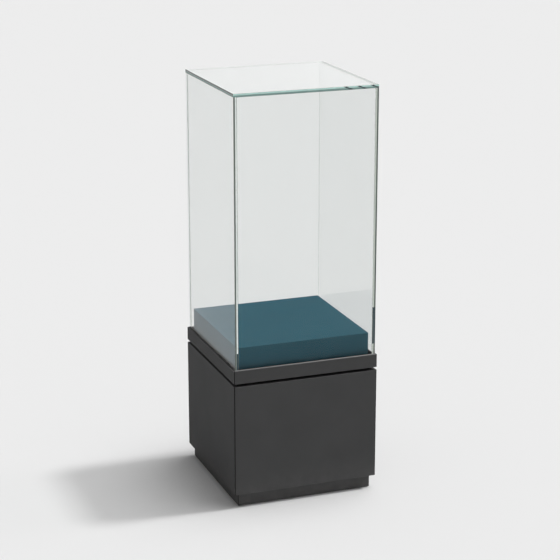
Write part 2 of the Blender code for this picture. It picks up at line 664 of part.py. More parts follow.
def build_runners():
    """Channels on the uprights, open towards the drawer, that its lips slide in."""
    web = FRAME_INSIDE - GAP
    web_inner = web - RUNNER_WALL
    tip = TRAY_HALF + LIP_END_CLEARANCE
    inner_low = TRAY_TOP - LIP_THICKNESS - LIP_CLEARANCE
    inner_high = TRAY_TOP + LIP_CLEARANCE
    low = inner_low - RUNNER_WALL
    high = inner_high + RUNNER_WALL
    section = [(web, low), (web, high), (tip, high), (tip, inner_high), (web_inner, inner_high),
               (web_inner, inner_low), (tip, inner_low), (tip, low)]
    for name, x_sign in LEFT_RIGHT.items():
        mesh = extruded("drawer_runner_" + name, [(x_sign * x, z) for x, z in section],
                        2 * (FRAME_HALF - RUNNER_END))
        mesh.transform(Matrix.Rotation(math.radians(90), 4, "X"))
        add_part("drawer_runner_" + name, mesh, "zinc_steel")


clear_scene()
PARTS = new_collection("tower_display_case")
CUTTERS = new_collection("cutters")
build_plinth()
build_feet()
build_frame()
build_seat_ring()
build_shelf()
build_cladding()
build_deck()
build_display_block()
build_hood()
build_door()
build_drawer()
build_runners()
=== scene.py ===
import math

import bmesh
import bpy
from mathutils import Matrix, Vector


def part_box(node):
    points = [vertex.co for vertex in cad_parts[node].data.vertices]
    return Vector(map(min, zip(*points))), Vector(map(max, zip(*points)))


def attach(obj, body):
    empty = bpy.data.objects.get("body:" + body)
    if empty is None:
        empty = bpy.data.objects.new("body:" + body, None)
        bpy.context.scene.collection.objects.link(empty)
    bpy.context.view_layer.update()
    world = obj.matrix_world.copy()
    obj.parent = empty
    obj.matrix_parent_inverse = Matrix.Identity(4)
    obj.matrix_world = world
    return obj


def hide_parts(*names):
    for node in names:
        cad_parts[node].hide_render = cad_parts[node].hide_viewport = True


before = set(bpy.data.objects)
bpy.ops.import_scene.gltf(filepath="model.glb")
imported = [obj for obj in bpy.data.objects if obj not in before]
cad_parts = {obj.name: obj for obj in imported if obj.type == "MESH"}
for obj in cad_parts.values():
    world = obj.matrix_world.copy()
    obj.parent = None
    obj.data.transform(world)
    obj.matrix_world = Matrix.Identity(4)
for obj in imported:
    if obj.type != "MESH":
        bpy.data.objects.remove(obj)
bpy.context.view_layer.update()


# ---- Studio -------------------------------------------------------------------------------------
# The case stands on a seamless pale floor.  A small ceiling of light leans over its right-hand side, where
# the key is, a white card behind shows only in reflections, and the room matches the floor's own grey.
AIM = Vector((0.0004, 0, 0.829))
AZIMUTH = math.radians(-20.4348)
ELEVATION = math.radians(16.4707)
DISTANCE = 7.022
LENS = 111.96
ROOM_GREY = 0.8388
FLOOR_REACH = 80.0
FLOOR_WHITE = 0.80
CEILING_LIGHT = 4.0
CEILING_CENTRE = Vector((0.34, 0.0, 0.94)).normalized()
CARD_LIGHT = 1.02
FILL_LIGHT = 0.345
KEY_STRENGTH = 1.5
KEY_HEIGHT = math.radians(47)
KEY_TURN = math.radians(-3.0)      # from +X towards the back
KEY_SPREAD = math.radians(9)
CEILING_EDGE = (0.86, 0.99)        # cosines from its centre, between which it comes up
CARD_EDGE = (0.30, 0.85)           # how far back a direction points, between which the card comes up
CARD_TURN = (0.28, 0.41)           # how far right it points, between which the card gets brighter
CARD_GAIN = 1.18
SHARP_EDGE = math.radians(35)


def node(tree, kind, inputs=(), **settings):
    """Adds a shader node.  Each input is given a value, or is linked if it is given a socket."""
    made = tree.nodes.new("ShaderNode" + kind)
    for name, value in settings.items():
        setattr(made, name, value)
    for name, value in dict(inputs).items():
        if isinstance(value, bpy.types.NodeSocket):
            tree.links.new(value, made.inputs[name])
        else:
            made.inputs[name].default_value = value
    return made


def maths(tree, operation, *values):
    return node(tree, "Math", dict(enumerate(values)), operation=operation).outputs[0]


def fade(tree, value, start, end, low=0.0, high=1.0):
    """A smooth step from low at start to high at end."""
    span = {"Value": value, "From Min": start, "From Max": end, "To Min": low, "To Max": high}
    return node(tree, "MapRange", span, interpolation_type="SMOOTHSTEP").outputs["Result"]


def standing_object(name, work):
    """An object made from a work mesh, smooth except at its sharp edges."""
    for face in work.faces:
        face.smooth = True
    for edge in work.edges:
        edge.smooth = edge.calc_face_angle(math.pi) < SHARP_EDGE
    mesh = bpy.data.meshes.new(name)
    work.to_mesh(mesh)
    work.free()
    made = bpy.data.objects.new(name, mesh)
    bpy.context.scene.collection.objects.link(made)
    return made


def new_material(name):
    material = bpy.data.materials.new(name)
    material.use_nodes = True
    tree = material.node_tree
    return material, tree, tree.nodes["Principled BSDF"]


lens = bpy.data.cameras.new("camera")
lens.lens = LENS
camera = bpy.data.objects.new("camera", lens)
away = Vector((math.sin(AZIMUTH) * math.cos(ELEVATION), -math.cos(AZIMUTH) * math.cos(ELEVATION),
               math.sin(ELEVATION)))
camera.location = AIM + away * DISTANCE
camera.rotation_euler = (-away).to_track_quat("-Z", "Y").to_euler()
bpy.context.scene.collection.objects.link(camera)
bpy.context.scene.camera = camera
bpy.context.scene.view_settings.view_transform = "Standard"

key_lamp = bpy.data.lights.new("key", "SUN")
key_lamp.energy = KEY_STRENGTH
key_lamp.angle = KEY_SPREAD
key = bpy.data.objects.new("key", key_lamp)
towards_key = Vector((math.cos(KEY_TURN) * math.cos(KEY_HEIGHT), math.sin(KEY_TURN) * math.cos(KEY_HEIGHT),
                      math.sin(KEY_HEIGHT)))
key.rotation_euler = towards_key.to_track_quat("Z", "Y").to_euler()
bpy.context.scene.collection.objects.link(key)

bpy.context.scene.world = bpy.data.worlds.new("room")
bpy.context.scene.world.use_nodes = True
room = bpy.context.scene.world.node_tree
room.nodes.clear()
towards = node(room, "TexCoord").outputs["Generated"]
facing = node(room, "VectorMath", {0: towards, 1: CEILING_CENTRE}, operation="DOT_PRODUCT").outputs["Value"]
ceiling = fade(room, facing, *CEILING_EDGE, FILL_LIGHT, FILL_LIGHT + CEILING_LIGHT)
way = node(room, "SeparateXYZ", {0: towards}).outputs
brighter = fade(room, way["X"], *CARD_TURN, CARD_LIGHT, CARD_GAIN * CARD_LIGHT)
behind = maths(room, "MULTIPLY", fade(room, way["Y"], *CARD_EDGE), brighter)
path = node(room, "LightPath").outputs
card = maths(room, "MULTIPLY", behind, path["Is Glossy Ray"])
lighting = node(room, "Background", {"Strength": maths(room, "ADD", ceiling, card)})
backdrop = node(room, "Background", {"Color": (ROOM_GREY, ROOM_GREY, ROOM_GREY, 1)})
looked_at = maths(room, "MAXIMUM", path["Is Camera Ray"], path["Is Transmission Ray"])
shown = node(room, "MixShader", {0: looked_at, 1: lighting.outputs[0], 2: backdrop.outputs[0]})
node(room, "OutputWorld", {"Surface": shown.outputs[0]})

work = bmesh.new()
bmesh.ops.create_grid(work, x_segments=1, y_segments=1, size=FLOOR_REACH)
floor = standing_object("studio_floor", work)
floor_paint, tree, shader = new_material("floor_paint")
shader.inputs["Base Color"].default_value = (FLOOR_WHITE, FLOOR_WHITE, FLOOR_WHITE, 1)
shader.inputs["Roughness"].default_value = 0.95
shader.inputs["Specular IOR Level"].default_value = 0.0
floor.data.materials.append(floor_paint)


# ---- Levelling feet -----------------------------------------------------------------------------
# Four zinc-plated M10 spindles that screw down out of blocks under the floor plate.  Each has a pressed-on
# hexagon to turn it by, and a moulded black nylon pad with a ribbed rim.
CORNERS = ("front_left", "front_right", "rear_left", "rear_right")
THREAD_PITCH = 0.0015
THREAD_DEPTH = 0.0006
THREAD_STEPS = 24
SPINDLE_RADIUS = 0.005
SPINDLE_POINT = 0.0008
PAD_RIBS = 24
PAD_STEPS = 96
RIB_DEPTH = 0.03                   # as a share of the pad's radius
ROUND_STEPS = 48
PAD_PROFILE = ((-0.0035, 0.0), (-0.0015, 0.0004), (0.0, 0.0016), (0.0, 0.0036), (-0.0012, 0.0048),
               (-0.0072, 0.0060), (-0.0091, 0.0060))      # from the rim, and up
HEX_PROFILE = ((0.0078, 0.0061), (0.0090, 0.0066), (0.0090, 0.0095), (0.0078, 0.0100))


def add_rings(work, rings, closed=False):
    """Joins rings of vertices with faces.  Open ends are capped, and a closed set meets itself."""
    rings = [[work.verts.new(place) for place in ring] for ring in rings]
    for lower, upper in zip(rings, rings[1:] + rings[:1] if closed else rings[1:]):
        for i in range(len(lower)):
            work.faces.new((lower[i - 1], lower[i], upper[i], upper[i - 1]))
    if not closed:
        work.faces.new(list(reversed(rings[0])))
        work.faces.new(rings[-1])


def round_ring(radius, height, steps=ROUND_STEPS, shape=None):
    """Points round the vertical.  shape gives the radius at each turn as a share."""
    turns = [2 * math.pi * i / steps for i in range(steps)]
    shares = [shape(turn) if shape else 1.0 for turn in turns]
    return [Vector((radius * share * math.cos(turn), radius * share * math.sin(turn), height))
            for turn, share in zip(turns, shares)]


def hexagon(turn):
    """Radius of a hexagon round the turn, as a share of its corner radius."""
    return math.cos(math.radians(30)) / math.cos((turn % math.radians(60)) - math.radians(30))


def ribbed(turn):
    return 1 - RIB_DEPTH * (0.5 + 0.5 * math.cos(PAD_RIBS * turn))


def thread_rings(radius, bottom, top):
    """Rings of a screwed rod with a real helix, four to each turn of the thread."""
    rows = int((top - bottom) / THREAD_PITCH * 4)
    for row in range(rows + 1):
        height = bottom + (top - bottom) * row / rows
        start = height / THREAD_PITCH

        def groove(turn):
            phase = (start - turn / (2 * math.pi)) % 1
            return 1 - THREAD_DEPTH / radius * abs(2 * phase - 1)

        yield round_ring(radius, height, THREAD_STEPS, groove)


def new_group(name, inputs, outputs):
    """A shader node group.  Returns the tree, what comes in, and what goes out."""
    tree = bpy.data.node_groups.new(name, "ShaderNodeTree")
    for label, (kind, value) in inputs.items():
        socket = tree.interface.new_socket(label, in_out="INPUT", socket_type="NodeSocket" + kind)
        socket.default_value = value
    for label, kind in outputs.items():
        tree.interface.new_socket(label, in_out="OUTPUT", socket_type="NodeSocket" + kind)
    return tree, tree.nodes.new("NodeGroupInput").outputs, tree.nodes.new("NodeGroupOutput").inputs


def add_group(tree, name, inputs):
    """Puts a node group in a material with its own values, and returns its outputs."""
    made = node(tree, "Group", node_tree=bpy.data.node_groups[name])
    for label, value in inputs.items():
        if isinstance(value, bpy.types.NodeSocket):
            tree.links.new(value, made.inputs[label])
        else:
            made.inputs[label].default_value = value
    return made.outputs


def here(tree):
    """The place on the piece in its own metres."""
    return node(tree, "TexCoord").outputs["Object"]


def noise(tree, place, size, detail=2.0):
    """Noise whose features are about size metres across."""
    return node(tree, "TexNoise", {"Vector": place, "Scale": 1 / size, "Detail": detail}).outputs[0]


def mixed(tree, share, first, second):
    """A colour from first to second by share."""
    return node(tree, "Mix", {0: share, 6: first, 7: second}, data_type="RGBA").outputs[2]


def scaled(tree, colour, share):
    return node(tree, "VectorMath", {0: colour, "Scale": share}, operation="SCALE").outputs[0]


def surfaced(name, group, inputs, depth, metallic=0.0):
    """A material whose colour, roughness and height come from a node group."""
    material, tree, shader = new_material(name)
    skin = add_group(tree, group, inputs)
    tree.links.new(skin["Colour"], shader.inputs["Base Color"])
    tree.links.new(skin["Roughness"], shader.inputs["Roughness"])
    shader.inputs["Metallic"].default_value = metallic
    bump = node(tree, "Bump", {"Strength": 1.0, "Distance": depth, "Height": skin["Height"]})
    tree.links.new(bump.outputs[0], shader.inputs["Normal"])
    return material


SKIN = {"Colour": "Color", "Roughness": "Float", "Height": "Float"}
tree, given, result = new_group(
    "zinc_plate", {"Tone": ("Color", (0.6, 0.6, 0.6, 1)), "Roughness": ("Float", 0.35)}, SKIN)
spot = here(tree)
crystal = node(tree, "TexVoronoi", {"Vector": spot, "Scale": 160.0}).outputs["Color"]
grain = node(tree, "SeparateXYZ", {0: crystal}).outputs["X"]
bloom = fade(tree, noise(tree, spot, 0.05, 5.0), 0.35, 0.75)
toned = scaled(tree, given["Tone"], maths(tree, "MULTIPLY_ADD", grain, 0.14, 0.90))
bloomed = mixed(tree, maths(tree, "MULTIPLY", bloom, 0.25), toned, (0.42, 0.43, 0.43, 1))
tree.links.new(bloomed, result["Colour"])
duller = maths(tree, "MULTIPLY_ADD", bloom, 0.14, maths(tree, "MULTIPLY", grain, 0.06))
tree.links.new(maths(tree, "ADD", given["Roughness"], duller), result["Roughness"])
tree.links.new(maths(tree, "MULTIPLY_ADD", grain, 0.3, noise(tree, spot, 0.0008)), result["Height"])

tree, given, result = new_group(
    "moulded_skin", {"Tone": ("Color", (0.1, 0.1, 0.1, 1)), "Roughness": ("Float", 0.5),
                     "Handling": ("Float", 0.12)}, SKIN)
spot = here(tree)
handled = maths(tree, "MULTIPLY", fade(tree, noise(tree, spot, 0.03, 5.0), 0.40, 0.75), given["Handling"])
tree.links.new(mixed(tree, handled, given["Tone"], (0.30, 0.29, 0.27, 1)), result["Colour"])
tree.links.new(maths(tree, "ADD", given["Roughness"], handled), result["Roughness"])
tree.links.new(noise(tree, spot, 0.0006, 3.0), result["Height"])


def zinc(name, roughness):
    """Bright zinc plating: fine crystals, and a grey bloom in patches."""
    tone = (0.62, 0.63, 0.64, 1)
    return surfaced(name, "zinc_plate", {"Tone": tone, "Roughness": roughness}, 0.00002, 1.0)


def moulding(name, colour, roughness, handling=0.12):
    """Moulded plastic or rubber with a fine tool texture, dulled where it is handled."""
    values = {"Tone": (*colour, 1), "Roughness": roughness, "Handling": handling}
    return surfaced(name, "moulded_skin", values, 0.00003)


def add_piece(name, work, material, body, slot, *stands_for):
    """Puts a finished piece on its body, standing for the nodes that it replaces."""
    bmesh.ops.recalc_face_normals(work, faces=work.faces)
    piece = standing_object(name, work)
    piece.data.materials.append(material)
    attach(piece, body)
    if stands_for:
        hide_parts(*stands_for)
    return piece


nylon = moulding("pad_nylon", (0.022, 0.022, 0.023), 0.48)
spindle_zinc = zinc("spindle_zinc", 0.28)
for corner in CORNERS:
    foot = "foot_" + corner
    low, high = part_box(foot)
    centre = Vector(((low.x + high.x) / 2, (low.y + high.y) / 2, 0))
    rim = (high.x - low.x) / 2
    work = bmesh.new()
    add_rings(work, [round_ring(rim + inward, level, PAD_STEPS, ribbed) for inward, level in PAD_PROFILE])
    bmesh.ops.translate(work, vec=centre, verts=work.verts)
    add_piece("foot_pad_" + corner, work, nylon, foot, "foot_plastic", foot)
    thread_top = high.z - SPINDLE_POINT
    work = bmesh.new()
    add_rings(work, [round_ring(radius, level, ROUND_STEPS, hexagon) for radius, level in HEX_PROFILE])
    add_rings(work, [*thread_rings(SPINDLE_RADIUS, HEX_PROFILE[-1][1], thread_top),
                     round_ring(SPINDLE_RADIUS - 2 * SPINDLE_POINT, high.z, THREAD_STEPS)])
    bmesh.ops.translate(work, vec=centre, verts=work.verts)
    add_piece("foot_spindle_" + corner, work, spindle_zinc, foot, "zinc_steel", foot)


# ---- Plinth -------------------------------------------------------------------------------------
# Four MDF boards mitred at the corners, set back under the cabinet and held 3 mm off the floor.
# They are sprayed with satin charcoal lacquer: a faint orange peel, arrises paler from wear and from
# a painted highlight, and dust low down that is also painted fill light.
SIDES = ("front", "right", "rear", "left")
CHARCOAL = (0.082, 0.082, 0.083)
# Arrises are painted lighter: lacquer thinned by wear, and also a painted highlight along each edge.
RUBBED_HIGHLIT_CHARCOAL = (0.135, 0.135, 0.137)
# A pale grey for dust, which on the lacquered boards also paints fill light low down.
DUST_AND_FILL_GREY = (0.34, 0.33, 0.31)
SEAM_BLACK = (0.006, 0.006, 0.006, 1)
SEAM_WIDTH = 0.0015
RUB_AND_HIGHLIGHT_WIDTH = 0.0015


def depths_in_box(tree, spot, low, high):
    """How deep the spot lies in a box along each axis, from the nearer of the two faces."""
    from_low = node(tree, "VectorMath", {0: spot, 1: low}, operation="SUBTRACT").outputs[0]
    from_high = node(tree, "VectorMath", {0: high, 1: spot}, operation="SUBTRACT").outputs[0]
    depth = node(tree, "VectorMath", {0: from_low, 1: from_high}, operation="MINIMUM").outputs[0]
    return node(tree, "SeparateXYZ", {0: depth}).outputs


tree, given, result = new_group(
    "sprayed_coat", {"Tone": ("Color", (0.5, 0.5, 0.5, 1)), "Roughness": ("Float", 0.5),
                     "Peel size": ("Float", 0.0016), "Mottle": ("Float", 0.05)}, SKIN)
spot = here(tree)
waves = maths(tree, "DIVIDE", 1.0, given["Peel size"])
peel = node(tree, "TexNoise", {"Vector": spot, "Scale": waves, "Detail": 2.0}).outputs[0]
swing = maths(tree, "MULTIPLY", maths(tree, "SUBTRACT", noise(tree, spot, 0.13, 4.0), 0.5), given["Mottle"])
tree.links.new(scaled(tree, given["Tone"], maths(tree, "MULTIPLY_ADD", swing, 4.0, 1.0)), result["Colour"])
peeled = maths(tree, "MULTIPLY_ADD", maths(tree, "SUBTRACT", peel, 0.5), 0.12, swing)
tree.links.new(maths(tree, "ADD", given["Roughness"], peeled), result["Roughness"])
tree.links.new(peel, result["Height"])

# Lighter arrises: wear, and a painted highlight along each edge.
tree, given, result = new_group(
    "edge_rub_and_highlight", {"Low corner": ("Vector", (0, 0, 0)), "High corner": ("Vector", (1, 1, 1)),
                 "Width": ("Float", 0.002)}, {"Rub and highlight": "Float"})
spot = here(tree)
depths = depths_in_box(tree, spot, given["Low corner"], given["High corner"])
lesser = maths(tree, "MINIMUM", depths[0], depths[1])
greater = maths(tree, "MAXIMUM", depths[0], depths[1])
to_edge = maths(tree, "MAXIMUM", lesser, maths(tree, "MINIMUM", greater, depths[2]))
patchy = fade(tree, noise(tree, spot, 0.03, 4.0), 0.3, 0.7, 0.4, 1.6)
share = maths(tree, "DIVIDE", to_edge, maths(tree, "MULTIPLY", given["Width"], patchy))
tree.links.new(fade(tree, share, 1.0, 0.1), result["Rub and highlight"])

tree, given, result = new_group(
    "mitre_seam", {"Low corner": ("Vector", (0, 0, 0)), "High corner": ("Vector", (1, 1, 1)),
                   "Width": ("Float", 0.001)}, {"Seam": "Float"})
spot = here(tree)
depths = depths_in_box(tree, spot, given["Low corner"], given["High corner"])
share = maths(tree, "DIVIDE", maths(tree, "MAXIMUM", depths[0], depths[1]), given["Width"])
tree.links.new(fade(tree, share, 1.1, 0.8), result["Seam"])

# On upward faces settled dust; up from the floor a paler stretch, on the lacquer also painted fill light.
tree, given, result = new_group(
    "dust_and_painted_fill", {"Amount": ("Float", 0.2), "Splash and fill height": ("Float", 0.05)}, {"Dust and fill": "Float"})
spot = here(tree)
height = node(tree, "SeparateXYZ", {0: spot}).outputs["Z"]
upward = node(tree, "SeparateXYZ", {0: node(tree, "NewGeometry").outputs["Normal"]}).outputs["Z"]
lying = fade(tree, upward, 0.4, 0.95, 0.0, 0.5)
splash_and_fill_share = fade(tree, height, given["Splash and fill height"], 0.0)
patchy = fade(tree, noise(tree, spot, 0.035, 6.0), 0.20, 0.80, 0.25, 0.75)
dust_and_fill_mask = maths(tree, "MULTIPLY", maths(tree, "MAXIMUM", lying, splash_and_fill_share), patchy)
tree.links.new(maths(tree, "MULTIPLY", dust_and_fill_mask, given["Amount"]), result["Dust and fill"])


def coat_piece(name, colour, roughness, peel_size, peel_depth, rubbed_and_highlit, dust, mottle=0.05, seam=0.0,
               splash_and_fill_height=0.05):
    """Gives a carried-over node a sprayed coating, its edges lighter from wear and from a painted highlight,
    and dust where dust lies, which low on the lacquered boards is also painted fill light.

    seam is the width of the dark line where its upright corners are mitred."""
    material, tree, shader = new_material(name + "_coat")
    coat = add_group(tree, "sprayed_coat", {"Tone": (*colour, 1), "Roughness": roughness,
                                            "Peel size": peel_size, "Mottle": mottle})
    low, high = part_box(name)
    # The arrises are painted lighter: wear, and a painted highlight.
    rub_and_highlight = add_group(tree, "edge_rub_and_highlight", {"Low corner": low, "High corner": high, "Width": RUB_AND_HIGHLIGHT_WIDTH})["Rub and highlight"]
    dust_and_fill = add_group(tree, "dust_and_painted_fill", {"Amount": dust, "Splash and fill height": splash_and_fill_height})["Dust and fill"]
    worn_and_highlit = mixed(tree, rub_and_highlight, coat["Colour"], (*rubbed_and_highlit, 1))
    if seam:
        joint = add_group(tree, "mitre_seam", {"Low corner": low, "High corner": high, "Width": seam})["Seam"]
        worn_and_highlit = mixed(tree, joint, worn_and_highlit, SEAM_BLACK)
    tree.links.new(mixed(tree, dust_and_fill, worn_and_highlit, (*DUST_AND_FILL_GREY, 1)), shader.inputs["Base Color"])
    smoother = maths(tree, "MULTIPLY_ADD", rub_and_highlight, -0.12, coat["Roughness"])
    tree.links.new(maths(tree, "MULTIPLY_ADD", dust_and_fill, 0.4, smoother), shader.inputs["Roughness"])
    shader.inputs["Specular IOR Level"].default_value = 0.012
    bump = node(tree, "Bump", {"Strength": 1.0, "Distance": peel_depth, "Height": coat["Height"]})
    tree.links.new(bump.outputs[0], shader.inputs["Normal"])
    dress(name, material)


def dress(name, material):
    """Gives a carried-over node its material."""
    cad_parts[name].data.materials.clear()
    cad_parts[name].data.materials.append(material)


def lacquer(name):
    # Its paler stretch 0.17 m up from the floor is painted fill light as well as dust.
    coat_piece(name, CHARCOAL, 0.56, 0.0016, 0.00002, RUBBED_HIGHLIT_CHARCOAL, 0.16, seam=SEAM_WIDTH,
               splash_and_fill_height=0.17)


for side in SIDES:
    lacquer("plinth_" + side)


# ---- Base frame ---------------------------------------------------------------------------------
# A welded steel frame: four square tubes on a floor plate, a flat seat ring on top, and a rail between
# drawer and door.  It has a coarse black powder coat, over rippled welds and socket-head screws.
BLACK = (0.020, 0.020, 0.021)
RUBBED_HIGHLIT_BLACK = (0.05, 0.05, 0.05)
WELD_RADIUS = 0.0024
WELD_RIPPLES = 12
SCREW_HEAD = 0.0035
SCREW_RISE = 0.0012
SCREW_PROFILE = ((1.0, 0.0), (1.0, 0.25), (0.86, 0.72), (0.62, 1.0))
SOCKET_PROFILE = ((0.50, 1.0), (0.50, 0.25))
FOOT_SCREW_OFFSET = 0.0162         # from a foot's axis
WELD_SIDES = 12
SEAT_WELD_DROP = 0.006             # below the seat ring's top
RAIL_SCREW_LEVEL = 0.400
RAIL_SCREW_PLACES = (-0.24, -0.12, 0.12, 0.24)


def black_coat(name):
    coat_piece(name, BLACK, 0.62, 0.0011, 0.00005, RUBBED_HIGHLIT_BLACK, 0.20)


def placed(rings, seat, way):
    """Rings built about the vertical, moved to a seat and turned to point along way."""
    turn = Vector(way).to_track_quat("Z", "Y")
    return [[Vector(seat) + turn @ place for place in ring] for ring in rings]


def add_screws(name, body, screws):
    """One piece for a group of like button-head screws, each with its seat and the way it points."""
    rings = [round_ring(SCREW_HEAD * wide, SCREW_RISE * high) for wide, high in SCREW_PROFILE]
    rings += [round_ring(SCREW_HEAD * wide, SCREW_RISE * high, ROUND_STEPS, hexagon)
              for wide, high in SOCKET_PROFILE]
    work = bmesh.new()
    for seat, way in screws:
        add_rings(work, placed(rings, seat, way))
    add_piece(name, work, screw_zinc, body, "zinc_steel")


def weld_rings(length):
    """A run of weld along the vertical: overlapping ripples that taper at both ends."""
    steps = WELD_RIPPLES * 4
    for step in range(steps + 1):
        along = step / steps
        taper = min(1.0, 8 * along + 0.3, 8 * (1 - along) + 0.3)
        ripple = 0.88 + 0.12 * math.sin(2 * math.pi * WELD_RIPPLES * along)
        yield round_ring(WELD_RADIUS * taper * ripple, length * along, WELD_SIDES)


for corner in CORNERS:
    black_coat("upright_" + corner)
    black_coat("foot_block_" + corner)
for side in SIDES:
    black_coat("seat_rail_" + side)
black_coat("floor_plate")
black_coat("mid_rail")

screw_zinc = zinc("screw_zinc", 0.24)
weld_black = moulding("weld_black", BLACK, 0.55, 0.05)
floor_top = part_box("floor_plate")[1].z
floor_screws = []
work = bmesh.new()
for corner in CORNERS:
    low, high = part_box("upright_" + corner)
    x_sign = 1 if low.x > 0 else -1
    y_sign = 1 if low.y > 0 else -1
    inner_x = min(abs(low.x), abs(high.x)) * x_sign
    inner_y = min(abs(low.y), abs(high.y)) * y_sign
    tube = high.x - low.x
    for level in (floor_top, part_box("seat_rail_front")[1].z - SEAT_WELD_DROP):
        add_rings(work, placed(weld_rings(tube), (inner_x, inner_y, level), (x_sign, 0, 0)))
        add_rings(work, placed(weld_rings(tube), (inner_x, inner_y, level), (0, y_sign, 0)))
    foot_low, foot_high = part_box("foot_" + corner)
    foot_x = (foot_low.x + foot_high.x) / 2
    foot_y = (foot_low.y + foot_high.y) / 2
    floor_screws.append(((foot_x - x_sign * FOOT_SCREW_OFFSET, foot_y, floor_top), (0, 0, 1)))
    floor_screws.append(((foot_x, foot_y - y_sign * FOOT_SCREW_OFFSET, floor_top), (0, 0, 1)))
add_piece("frame_welds", work, weld_black, "root", "black_steel")
add_screws("foot_block_screws", "root", floor_screws)
low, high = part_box("mid_rail")
add_screws("mid_rail_screws", "root", [((x, high.y, RAIL_SCREW_LEVEL), (0, 1, 0))
                                       for x in RAIL_SCREW_PLACES])


# ---- Shelf and drawer runners -------------------------------------------------------------------
# A folded zinc-plated plate closes the lower compartment, and two rolled channels spot-welded to the
# uprights carry the drawer.
def plated(name):
    dress(name, zinc(name + "_zinc", 0.36))


for name in ("chamber_shelf", "drawer_runner_left", "drawer_runner_right"):
    plated(name)


# ---- Cladding -----------------------------------------------------------------------------------
# Three 18 mm MDF panels and two rear stiles, mitred at the corners and fixed to the frame from inside.
# They have the plinth's satin charcoal lacquer.
for name in ("panel_front", "panel_left", "panel_right", "rear_stile_left", "rear_stile_right"):
    lacquer(name)


# ---- Deck ---------------------------------------------------------------------------------------
# A folded steel tray that lies on the seat ring and fills the band, with air slots in its upstands.
# It is powder coated in the band's charcoal.
BAND_GREY = (0.080, 0.080, 0.081)


def powder_coat(name):
    coat_piece(name, BAND_GREY, 0.56, 0.0011, 0.00003, RUBBED_HIGHLIT_CHARCOAL, 0.12, seam=SEAM_WIDTH)


powder_coat("deck_tray")


# ---- Display block ------------------------------------------------------------------------------
# A 12 mm MDF box, open below, that lifts out of the case.  It is rolled with a matt teal paint, which
# leaves a soft stipple.  Its arrises are a little paler, from wear and from a painted highlight.
TEAL = (0.032, 0.103, 0.137)
RUBBED_HIGHLIT_TEAL = (0.045, 0.132, 0.170)
coat_piece("display_block", TEAL, 0.62, 0.0014, 0.000003, RUBBED_HIGHLIT_TEAL, 0.02)


# ---- Band ---------------------------------------------------------------------------------------
# Four steel rails mitred and welded at the corners, which carry the glass on an inner flange.
# They are powder coated charcoal, paler over the arrises: the coat thinner there, and a painted highlight.
for side in SIDES:
    powder_coat("band_" + side)


# ---- Gasket and glazing tape --------------------------------------------------------------------
# A soft black EPDM bulb runs round under the hood's flange and closes the case against dust.  The panes
# stand on a thin strip of closed-cell tape.
BULB_STEPS = 8
BULB_FOOT = 0.35                   # height of the foot, as a share of the seal's
BULB_LIP = 0.38                    # half the lip's width, as a share of the seal's
GASKET_WIDTH = 0.0055


def framed(low, high, axis, inset, level):
    """Four corners of a rectangle in the box, inset on all sides, at a level along the axis."""
    first, second = [i for i in range(3) if i != axis]
    for u, v in ((0, 0), (1, 0), (1, 1), (0, 1)):
        corner = Vector((0, 0, 0))
        corner[axis] = level
        corner[first] = high[first] - inset if u else low[first] + inset
        corner[second] = high[second] - inset if v else low[second] + inset
        yield corner


def add_seal(name, material, axis, back, front, width, body, stands_for):
    """A bulb seal in a rectangle: a flat foot at the back level, and a rounded lip at the front one."""
    low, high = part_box(stands_for)
    foot = back + (front - back) * BULB_FOOT
    profile = [(0, back), (0, foot)]
    for step in range(BULB_STEPS + 1):
        lean = math.pi * step / BULB_STEPS
        inset = width / 2 - width * BULB_LIP * math.cos(lean)
        profile.append((inset, foot + (front - foot) * math.sin(lean)))
    profile += [(width, foot), (width, back)]
    work = bmesh.new()
    add_rings(work, [list(framed(low, high, axis, inset, level)) for inset, level in profile], closed=True)
    add_piece(name, work, material, body, "black_rubber", stands_for)


rubber = moulding("seal_rubber", (0.016, 0.016, 0.017), 0.66, 0.08)
low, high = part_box("hood_gasket")
add_seal("gasket_bulb", rubber, 2, high.z, low.z, GASKET_WIDTH, "hood", "hood_gasket")
dress("glazing_tape", moulding("glazing_foam", (0.014, 0.014, 0.014), 0.80, 0.03))


# ---- Glass --------------------------------------------------------------------------------------
# Five laminated panes, two 6 mm plies with a clear interlayer, bonded edge to edge with clear resin.  The
# polished edges are painted opaque: a pale band for lit glass and a deeper green one for shaded glass,
# between matt arrises, with painted emission on the left and painted reflections of the block and the
# joint.  A fine bead closes the joint with the band: black rubber, its front run painted grey as a highlight.
PLY = 0.006
ARRIS = 0.0006
INTERLAYER_DEPTH = 0.0004
GLASS_INDEX = 1.20                 # what its anti-reflective coating makes it look like
GLASS_TINT = (0.938, 0.949, 0.945, 1)
GRAZED_TINT = (0.864, 0.879, 0.874, 1)
SMEAR_TINT = (0.80, 0.82, 0.82, 1)
LAMP_TINT = (0.985, 0.987, 0.986, 1)
RESIN_TINT = (0.965, 0.975, 0.970, 1)
# The dark of the block's painted reflections in the edges.
PAINTED_REFLECTION_DARK = (0.012, 0.036, 0.048, 1)
OUTER_PLY, INNER_PLY, BEVEL, INTERLAYER, TO_SIDE = 1, 2, 3, 4, 4
BEAD = ((0.0001, 0.0), (0.0001, 0.0024), (0.0006, 0.0012), (0.0013, 0.0005), (0.0025, 0.0001), (0.0025, 0.0))
# Heights of the block's painted reflections in the upright edges.
VIEW_DROP = 0.017                  # the block seen in the left edge, down from its top
MIRROR_DROP = 0.041                # the block mirrored in the right edge, down and up from its top
MIRROR_RISE = 0.110

